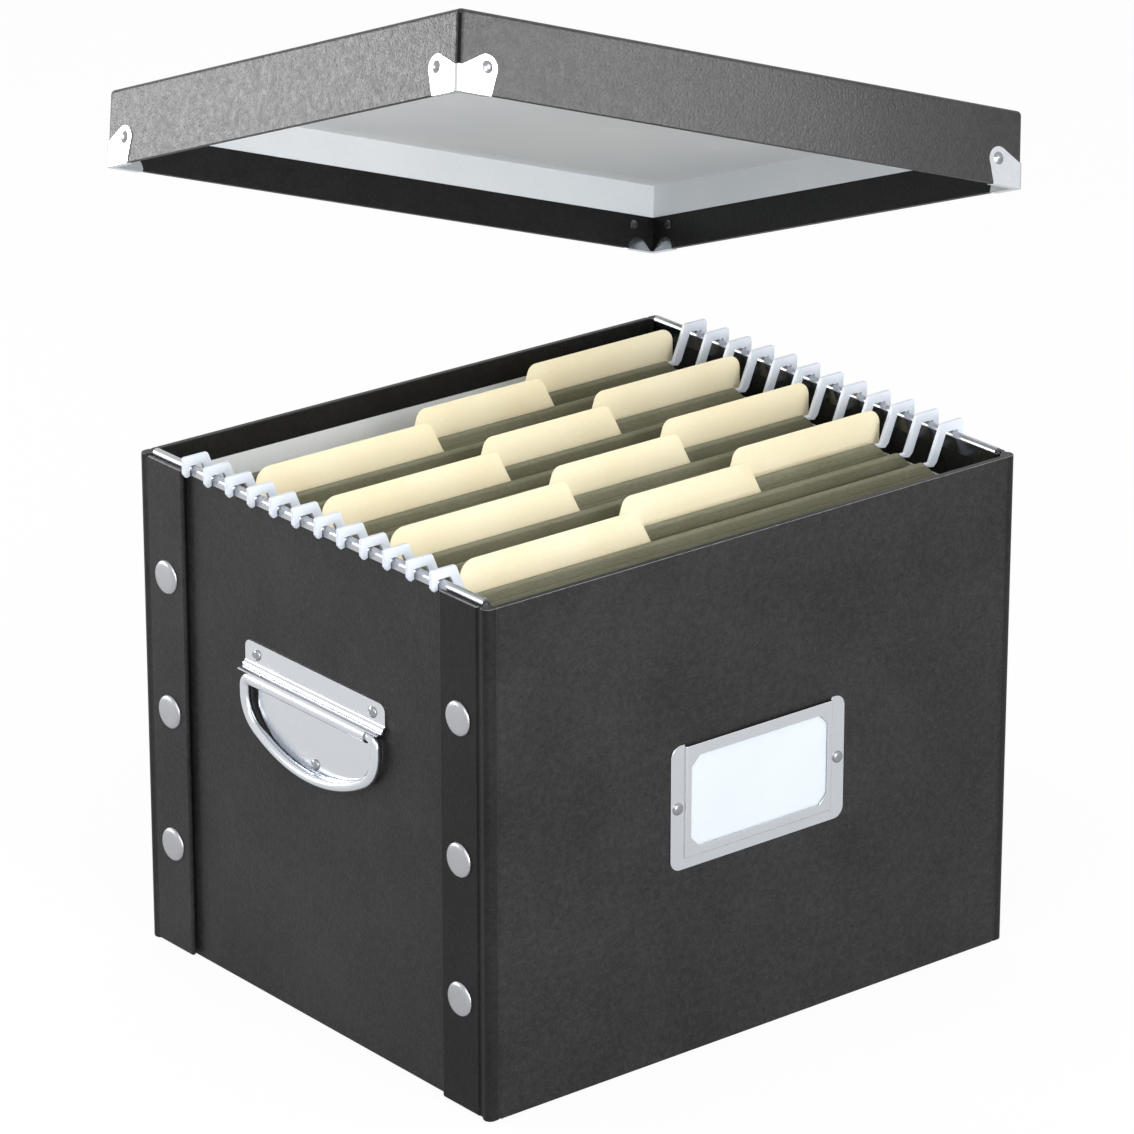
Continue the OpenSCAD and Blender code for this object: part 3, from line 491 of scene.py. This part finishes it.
# File rails: sheet folded over the end board, with a short outer lip, a rounded ridge for the
# hooks, and an inner leg in a darker nickel as painted shade, which is what lies nearer the middle
# than LEG_X and below LEG_Z
LEG_X, LEG_Z = 159.6, 263.0
rail_points = ([(-164.25, 261.3), (-164.25, 263.9), (-163.95, 264.1)]
               + arc(-161.75, 263.8, 2.2, 172, 8, 10)
               + [(-159.55, 264.1), (-159.25, 263.9), (-159.25, 256.5), (-159.95, 256.5),
                  (-159.95, 263.5), (-163.55, 263.5), (-163.55, 261.3)])
rail = pull(course("left_file_rail", [(x, -131.5, z) for x, z in rail_points], closed=True), y=263)
round_edges(rail, 0.16, 2, 50, 40)
for material in (RAIL_NICKEL, SHADED_LEG_NICKEL):
    rail.data.materials.append(material)
# Painted shade: the inner leg takes the darker nickel
for p in rail.data.polygons:
    p.material_index = abs(p.center.x) < LEG_X * MM and p.center.z < LEG_Z * MM
finish(copied(rail, "right_file_rail", MIRROR_X), None, "box", "right_rail", slot="nickel")
finish(rail, None, "box", "left_rail", slot="nickel")

# Chest handles
BARREL_X, BARREL_Z = 167.25, 171.0


def handle_plate():
    """One pressed sheet: a flange, a bead, the barrel that wraps the wire, and a D-shaped skirt
    below it."""
    across = ([(0.42, 190), (0.42, 178.3), (0.6, 177.5), (1.1, 176.9), (1.8, 176.4), (2.25, 175.7),
               (2.3, 174.9)]
              + arc(BARREL_X - END_OUT, BARREL_Z, 3.3, 118, -90, 20)
              + [(2.4, 167.55), (1.3, 167.25), (0.62, 166.7), (0.42, 165.8), (0.42, 126)])
    sheet = pull(course("plate", [(-END_OUT - out, -60, z) for out, z in across]), y=120)
    apply(sheet, "SOLIDIFY", thickness=0.8 * MM, offset=0)
    shape = ([(56.3, 173.9)] + arc(52.3, 184.7, 4, 0, 90, 6) + arc(-52.3, 184.7, 4, 90, 180, 6)
             + [(-56.3, 173.9), (-47, 173.9), (-47, 166.3), (-46, 166.3), (-46, 156.3)]
             + arc(0, 180.5, 52, 207.8, 332.2, 26)
             + [(46, 156.3), (46, 166.3), (47, 166.3), (47, 173.9)])
    cut(sheet, pull(course("shape", [(-175, y, z) for y, z in shape], closed=True), x=20),
        "INTERSECT")
    return round_edges(sheet, 0.2, 2, 50, 40)


def bail():
    """The round wire loop: half of it drawn from the barrel's middle to the bow's, then
    mirrored."""
    bpy.ops.mesh.primitive_circle_add(vertices=20, radius=2.7 * MM, rotation=(math.pi / 2, 0, 0),
                                      location=(-BARREL_X * MM, 0, BARREL_Z * MM))
    obj = settle(bpy.context.object)
    edit(obj, "VERT")
    bpy.ops.mesh.select_all(action="SELECT")
    bpy.ops.mesh.extrude_region_move(TRANSFORM_OT_translate={"value": (0, 48 * MM, 0)})
    # A tight bend out of the barrel, the bow's corner and its long curve: radii 5, 20 and 85 mm,
    # with each centre chosen so that one arc runs smoothly into the next
    bend = math.atan2(56, 33)
    for steps, angle, y, z, drop in ((10, math.pi / 2, 48, 166, 3.6),
                                     (12, bend, 33, 162.4, 0),
                                     (12, math.pi / 2 - bend, 0, 218.4, 0)):
        bpy.ops.mesh.spin(steps=steps, angle=angle, center=(-BARREL_X * MM, y * MM, z * MM),
                          axis=(1, 0, 0))
        if drop:
            bpy.ops.mesh.extrude_region_move(TRANSFORM_OT_translate={"value": (0, 0, -drop * MM)})
    bpy.ops.object.mode_set(mode="OBJECT")
    apply(obj, "MIRROR", use_axis=(False, True, False), use_clip=True, merge_threshold=0.0001)
    edit(obj, "VERT")
    bpy.ops.mesh.select_all(action="SELECT")
    bpy.ops.mesh.normals_make_consistent(inside=False)
    bpy.ops.object.mode_set(mode="OBJECT")
    bpy.ops.object.shade_smooth()
    return obj


rivet = [(0, 1.5), (1.1, 1.46), (2.0, 1.28), (2.6, 0.92), (2.92, 0.45), (3.0, 0), (0, 0)]
heads = joined("heads", *[turned("rivet", rivet, (-END_OUT - 0.8, y, z), (-1, 0, 0), 24)
                          for y, z in ((-46.7, 182.5), (46.7, 182.5), (0, 139.7))])
finish(joined("handle_rivet_heads", heads, copied(heads, "r", MIRROR_X)), RIVET_NICKEL, "box",
       "handle_rivets", slot="nickel")
plate, wire = handle_plate(), bail()
for side, turn in (("left", Matrix.Identity(4)), ("right", MIRROR_X)):
    finish(copied(plate, side + "_handle_plate_pressed", turn), NICKEL, "box",
           side + "_handle_plate", slot="nickel")
    finish(copied(wire, side + "_bail_wire", turn), NICKEL, side + "_bail", side + "_bail",
           slot="nickel")
bpy.data.objects.remove(plate)
bpy.data.objects.remove(wire)


# Card holder

def card_holder():
    """Pressed from one sheet: a flat flange, a raised pocket and a window with cut corners. The
    pocket is rounded at its front edges, but for the upper one."""
    rim = (arc(49.5, 158.9, 6, 0, 90, 8) + [(47, 164.9), (47, 163.7), (-47, 163.7), (-47, 164.9)]
           + arc(-49.5, 158.9, 6, 90, 180, 8) + arc(-49.5, 105.4, 6, 180, 270, 8)
           + arc(49.5, 105.4, 6, 270, 360, 8))
    flange = pull(course("flange", [(x, -HALF_D - 0.02, z) for x, z in rim], closed=True), y=-0.68)
    cut(flange, board("middle", (-46.2, -HALF_D - 2.5, 105.8), (46.2, -HALF_D + 1, 166)))
    pocket = board("pocket", (-47, -HALF_D - 1.98, 105), (47, -HALF_D - 0.02, 163.7))

    def front_edges(mesh):
        ends = [[mesh.vertices[i].co / MM for i in e.vertices] for e in mesh.edges]
        return [e for e, (a, b) in zip(mesh.edges, ends)
                if max(a.y, b.y) < -HALF_D - 1.5 and min(a.z, b.z) < 160]

    pick(pocket, front_edges)
    edit(pocket, "EDGE")
    bpy.ops.mesh.bevel(offset=1.1 * MM, segments=5, affect="EDGES")
    bpy.ops.object.mode_set(mode="OBJECT")
    cut(pocket, board("hollow", (-46.3, -HALF_D - 1.3, 105.7), (46.3, -HALF_D + 1, 170)))
    half, low_z, high_z, corner = 43.6, 110.0, 157.7, 5.2
    quarter = [(half - corner, 0), (half, corner)]
    window = ([(x, low_z + z) for x, z in quarter]
              + [(x, high_z - z) for x, z in reversed(quarter)]
              + [(-x, high_z - z) for x, z in quarter]
              + [(-x, low_z + z) for x, z in reversed(quarter)])
    cut(pocket, pull(course("window", [(x, -HALF_D - 3, z) for x, z in window], closed=True), y=4))
    return joined("card_holder_pressed", round_edges(flange, 0.22, 2, 50, 45),
                  round_edges(pocket, 0.25, 2, 50, 45))


finish(card_holder(), NICKEL, "box", "label_holder", slot="nickel")
small = [(r * 1.05, h * 0.87) for r, h in rivet]
small_heads = [turned("rivet", small, (x, -HALF_D - 0.7, 132.15), (0, -1, 0), 24)
               for x in (-51.25, 51.25)]
finish(joined("card_holder_rivet_heads", *small_heads), RIVET_NICKEL, "box", "label_rivets",
       slot="nickel")
finish(board("index_card", (-46.0, -139.8, 106.0), (46.0, -139.3, 162.5), 0.12, 2), WHITE_CARD,
       "label_card", "label_card", slot="card")


# Hanging folders

def rod_with_hooks():
    """One rod at y = 0 with a flat moulded hook on each end, crown over the rail and foot on the
    rod."""
    outline = ([(164.65, 261.0), (166.75, 260.4), (168.35, 262.6)]
               + arc(167.05, 269.85, 1.3, 0, 90, 4)
               + [(154.0, HOOK_TOP), (153.3, 270.2), (145.9, 252.1), (145.2, 250.3), (148.9, 249.6),
                  (151.2, 251.8), (157.1, 266.15), (164.65, 266.15)])
    right = pull(course("hook", [(x, 1.1, z) for x, z in outline], closed=True), y=-2.2)
    round_edges(right, 0.28, 2, 30, 50)
    bpy.ops.mesh.primitive_cylinder_add(vertices=16, radius=1.2 * MM, depth=292 * MM,
                                        location=(0, 0, ROD_Z * MM), rotation=(0, math.pi / 2, 0))
    return joined("rod", round_edges(settle(bpy.context.object), 0.3, 2, 50, 40), right,
                  copied(right, "left", MIRROR_X))


def hanging_sheet():
    """A folder's sheet with its pocket's middle at y = 0: from the loose end over a rod, bowed down
    to the lower fold, and up over the other rod. A pressed line below the roll shows where the
    loose end is glued down, and the corners are cut away at the hooks."""
    roll, fold_y, fold_z, steps = 1.6, 3.4, 26.3, 18
    manila_half, clear, sheet_half = 0.6, 0.5, 0.3
    # The leaf bows out almost to the manila folder between it and the next pocket
    bow = (HALF_POCKET + MANILA_BACK - manila_half - clear - sheet_half
           - (fold_y + HALF_POCKET + roll) / 2)
    top_y = HALF_POCKET + roll
    leaf = [(8.4, ROD_Z - 6)] + arc(HALF_POCKET, ROD_Z, roll, 180, 0, 8)
    leaf += [(10.88, ROD_Z - 3.5), (10.55, ROD_Z - 3.95), (10.95, ROD_Z - 4.4)]
    leaf += [(top_y + (fold_y - top_y) * i / steps + bow * math.sin(math.pi * i / steps),
              ROD_Z + (fold_z - ROD_Z) * i / steps) for i in range(1, steps + 1)]
    whole = [(-y, z) for y, z in leaf] + leaf[::-1]
    obj = pull(course("hanging_sheet", [(-150, y, z) for y, z in whole]), x=300)
    apply(obj, "SOLIDIFY", thickness=0.55 * MM, offset=0)
    for s in (-1, 1):
        corner = [(141.4, 255), (141.4, 253.4), (150, 245), (152, 245), (152, 255)]
        cut(obj, pull(course("corner", [(s * x, -20, z) for x, z in corner], closed=True), y=40))
    only(obj)
    bpy.ops.object.shade_smooth_by_angle(angle=math.radians(40))
    return obj


rod, hanging = rod_with_hooks(), hanging_sheet()
for k in range(RODS // 2):
    body = f"hanging_folder_{k + 1}"
    pair = [copied(rod, "r", Matrix.Translation((0, y * MM, 0))) for y in ROD_Y[2 * k:2 * k + 2]]
    finish(joined(f"hooks_and_rods_{k + 1}", *pair), NYLON, body, f"folder_hooks_{k + 1}",
           slot="white_nylon")
    middle = Matrix.Translation((0, (ROD_Y[2 * k] + HALF_POCKET) * MM, 0))
    sheet = copied(hanging, f"hanging_sheet_{k + 1}", middle)
    finish(sheet, OLIVE, body, body, slot="olive_board")
bpy.data.objects.remove(rod)
bpy.data.objects.remove(hanging)

# Manila folders, SHIFT to the right of the middle, and the two ends of each tab
MANILA_Z, MANILA_TOP, TAB_TOP, SHIFT, HALF_M = 27.0, 249.0, 268.0, 3.5, 148.5
TABS = {0: (-HALF_M, -30.5), 1: (-40.5, 55.5), 2: (45.5, HALF_M)}


def leaf_outline(tab):
    """A leaf seen from the front, with its tab at the left (0), middle (1) or right (2), or none.
    A tab's outer corner is a wide arc, and its slope runs down to the leaf's edge with a small
    flare."""
    left, right = TABS.get(tab, (0, 0))
    out = [(-HALF_M, MANILA_Z), (HALF_M, MANILA_Z)]
    out += (arc(HALF_M - 8, TAB_TOP - 8, 8, 0, 90, 7) if tab == 2
            else arc(HALF_M - 4, MANILA_TOP - 4, 4, 0, 90, 4))
    if tab in (0, 1):
        out += [(right + 1.2, MANILA_TOP), (right - 0.4, MANILA_TOP + 0.5),
                (right - 1.4, MANILA_TOP + 1.7)]
        out += arc(right - 14, TAB_TOP - 6, 6, 27, 90, 5)
    if tab in (1, 2):
        out += arc(left + 11, TAB_TOP - 5.5, 5.5, 90, 160, 5)
        out += [(left + 1.1, MANILA_TOP + 1.7), (left + 0.3, MANILA_TOP + 0.5),
                (left - 1.2, MANILA_TOP)]
    out += (arc(-HALF_M + 8, TAB_TOP - 8, 8, 90, 180, 7) if tab == 0
            else arc(-HALF_M + 4, MANILA_TOP - 4, 4, 90, 180, 4))
    return out


def manila(tab):
    """A folded manila sheet at y = 0: a back leaf with a tab, a plain front leaf and the fold."""
    leaves = [pull(course("leaf", [(x + SHIFT, y, z) for x, z in leaf_outline(shape)], closed=True),
                   y=-0.36) for shape, y in ((tab, 0.6), (None, -0.24))]
    fold = board("fold", (-HALF_M + SHIFT, -0.6, MANILA_Z),
                 (HALF_M + SHIFT, 0.6, MANILA_Z + 0.5), 0.2, 2)
    return joined("manila", *leaves, fold)


patterns = [manila(tab) for tab in (0, 1, 2)]
for i in range(RODS):
    body = f"manila_folder_{i + 1}"
    stand = Matrix.Translation((0, (ROD_Y[i] + MANILA_BACK) * MM, 0))
    finish(copied(patterns[i % 3], f"manila_card_{i + 1}", stand), MANILA, body, body,
           slot="manila")
for obj in patterns:
    bpy.data.objects.remove(obj)


# Lid

def lid_shell():
    """The lid's boards under one cloth: a tray, mouth down, with its corner seams, its turned rim
    and its inner faces in darker copies of the cloth as painted shade."""
    seam, upper_edge, rim, skin = 1.6, 2.4, 1.35, 1.2
    shell = board("lid_shell", (-LID_W, -LID_D, 0), (LID_W, LID_D, LID_H))

    def height(mesh, i):
        return mesh.vertices[i].co.z

    def upright(mesh):
        return [e for e in mesh.edges
                if abs(height(mesh, e.vertices[0]) - height(mesh, e.vertices[1])) > 0.01]

    def upper(mesh):
        return [e for e in mesh.edges
                if all(height(mesh, i) > (LID_H - 0.1) * MM for i in e.vertices)]

    for test, radius in ((upright, 3.0), (upper, upper_edge)):
        pick(shell, test)
        edit(shell, "EDGE")
        bpy.ops.mesh.bevel(offset=radius * MM, segments=6, affect="EDGES")
        bpy.ops.object.mode_set(mode="OBJECT")
    pick(shell, lambda mesh: [p for p in mesh.polygons if p.normal.z < -0.9])
    edit(shell, "FACE")
    bpy.ops.mesh.delete(type="FACE")
    bpy.ops.object.mode_set(mode="OBJECT")
    apply(shell, "SOLIDIFY", thickness=(LID_T - 0.02) * MM, offset=-1)
    round_edges(shell, 1.4, 4, 60, 40)
    for material in (LID_CLOTH, INNER_SHADE_CLOTH, SEAM_SHADE_CLOTH):
        shell.data.materials.append(material)
    for p in shell.data.polygons:
        x, y, z = abs(p.center.x) / MM, abs(p.center.y) / MM, p.center.z / MM
        # Painted shade: the seams at the lid's corners take the darkest cloth
        if x > LID_W - seam and y > LID_D - seam and z < LID_H - upper_edge:
            p.material_index = 2
        # Painted shade: the rim and the inner faces take the darker cloth
        elif z < rim or x < LID_W - skin and y < LID_D - skin and z < LID_H - 1:
            p.material_index = 1
    shell.data.transform(LIFTED)
    return shell


finish(lid_shell(), None, "lid", "lid_top", "lid_front_wall", "lid_back_wall", "lid_left_wall",
       "lid_right_wall", slot="cover_grey")
# Its guards and their rivets keep the CAD's shape
clad(NICKEL, "lid_corner_guards")
clad(RIVET_NICKEL, "lid_rivets")

# Floor: white to the camera, mostly by a glow of its own, so that only a trace of the object's
# shadow shows; what the metal sees of it glows less
FLOOR_SIZE, FLOOR_Z = 14, -0.0004
CAMERA_GLOW, MIRRORED_GLOW, GLOW = 0.9, 0.25, 1.025
floor_mat, t, _ = surface("pale_studio_floor", "#e2e2e2", 0.9, Specular_IOR_Level=0.1)
camera_ray, glossy_ray, through_ray = (add(t, "ShaderNodeLightPath", out=f"Is {kind} Ray")
                                       for kind in ("Camera", "Glossy", "Transmission"))
straight = add(t, "ShaderNodeMath", {0: camera_ray, 1: CAMERA_GLOW}, operation="MULTIPLY")
bounced = add(t, "ShaderNodeMath", {0: glossy_ray, 1: through_ray}, operation="MAXIMUM")
share = add(t, "ShaderNodeMath", {0: bounced, 1: MIRRORED_GLOW, 2: straight},
            operation="MULTIPLY_ADD", use_clamp=True)
glow = add(t, "ShaderNodeEmission", {"Color": (1, 1, 1, 1), "Strength": GLOW})
lit = t.nodes["Principled BSDF"].outputs["BSDF"]
mixed = add(t, "ShaderNodeMixShader", {0: share, 1: lit, 2: glow})
t.links.new(mixed, t.nodes["Material Output"].inputs["Surface"])
bpy.ops.mesh.primitive_plane_add(size=FLOOR_SIZE, location=(0, 0, FLOOR_Z))
floor = bpy.context.object
floor.name = "studio_floor"
floor.data.materials.append(floor_mat)

# World: an even white studio, at full white for what the camera and the metal see of it
STUDIO_LIGHT, STUDIO_SEEN = 0.68, 1.0
world = scene.world = bpy.data.worlds.new("studio")
world.use_nodes = True
t = world.node_tree
seen = [add(t, "ShaderNodeLightPath", out=f"Is {kind} Ray")
        for kind in ("Camera", "Glossy", "Transmission")]
either = add(t, "ShaderNodeMath", {0: seen[1], 1: seen[2]}, operation="MAXIMUM")
share = add(t, "ShaderNodeMath", {0: seen[0], 1: either}, operation="MAXIMUM")
strength = add(t, "ShaderNodeMapRange",
               {"Value": share, "To Min": STUDIO_LIGHT, "To Max": STUDIO_SEEN})
t.links.new(strength, t.nodes["Background"].inputs["Strength"])
t.nodes["Background"].inputs["Color"].default_value = (1, 1, 1, 1)

# Lamps: soft boxes at a place, aimed at a target, so many metres wide and tall, with a power in
# watts and a spread in degrees. The one at the back is low and flat, so that the top of a seated
# lid hardly mirrors it.
for name, place, target, wide, tall, power, spread in (
        ("key_soft_box", (-1.7, -1.5, 2.2), (0, 0, 0.25), 1.4, 1.4, 16.5, 180),
        ("front_soft_box", (-0.3, -2.0, 0.9), (0, 0, 0.32), 1.0, 1.0, 22, 180),
        ("near_soft_box", (0.24, -0.5, 0.66), (-0.12, -0.08, 0.5), 0.3, 0.3, 0.27, 60),
        ("low_soft_box", (-0.2, -2.0, 0.25), (0, 0, 0.45), 0.9, 0.9, 6, 180),
        ("back_left_soft_box", (-1.0, 1.4, 0.55), (-0.15, 0.05, 0.47), 0.9, 0.4, 13, 180)):
    data = bpy.data.lights.new(name, "AREA")
    data.shape, data.size, data.size_y = "RECTANGLE", wide, tall
    data.energy, data.spread = power, math.radians(spread)
    obj = bpy.data.objects.new(name, data)
    scene.collection.objects.link(obj)
    obj.location, obj.visible_camera = place, False
    obj.rotation_mode = "QUATERNION"
    obj.rotation_quaternion = (Vector(target) - Vector(place)).to_track_quat("-Z", "Y")
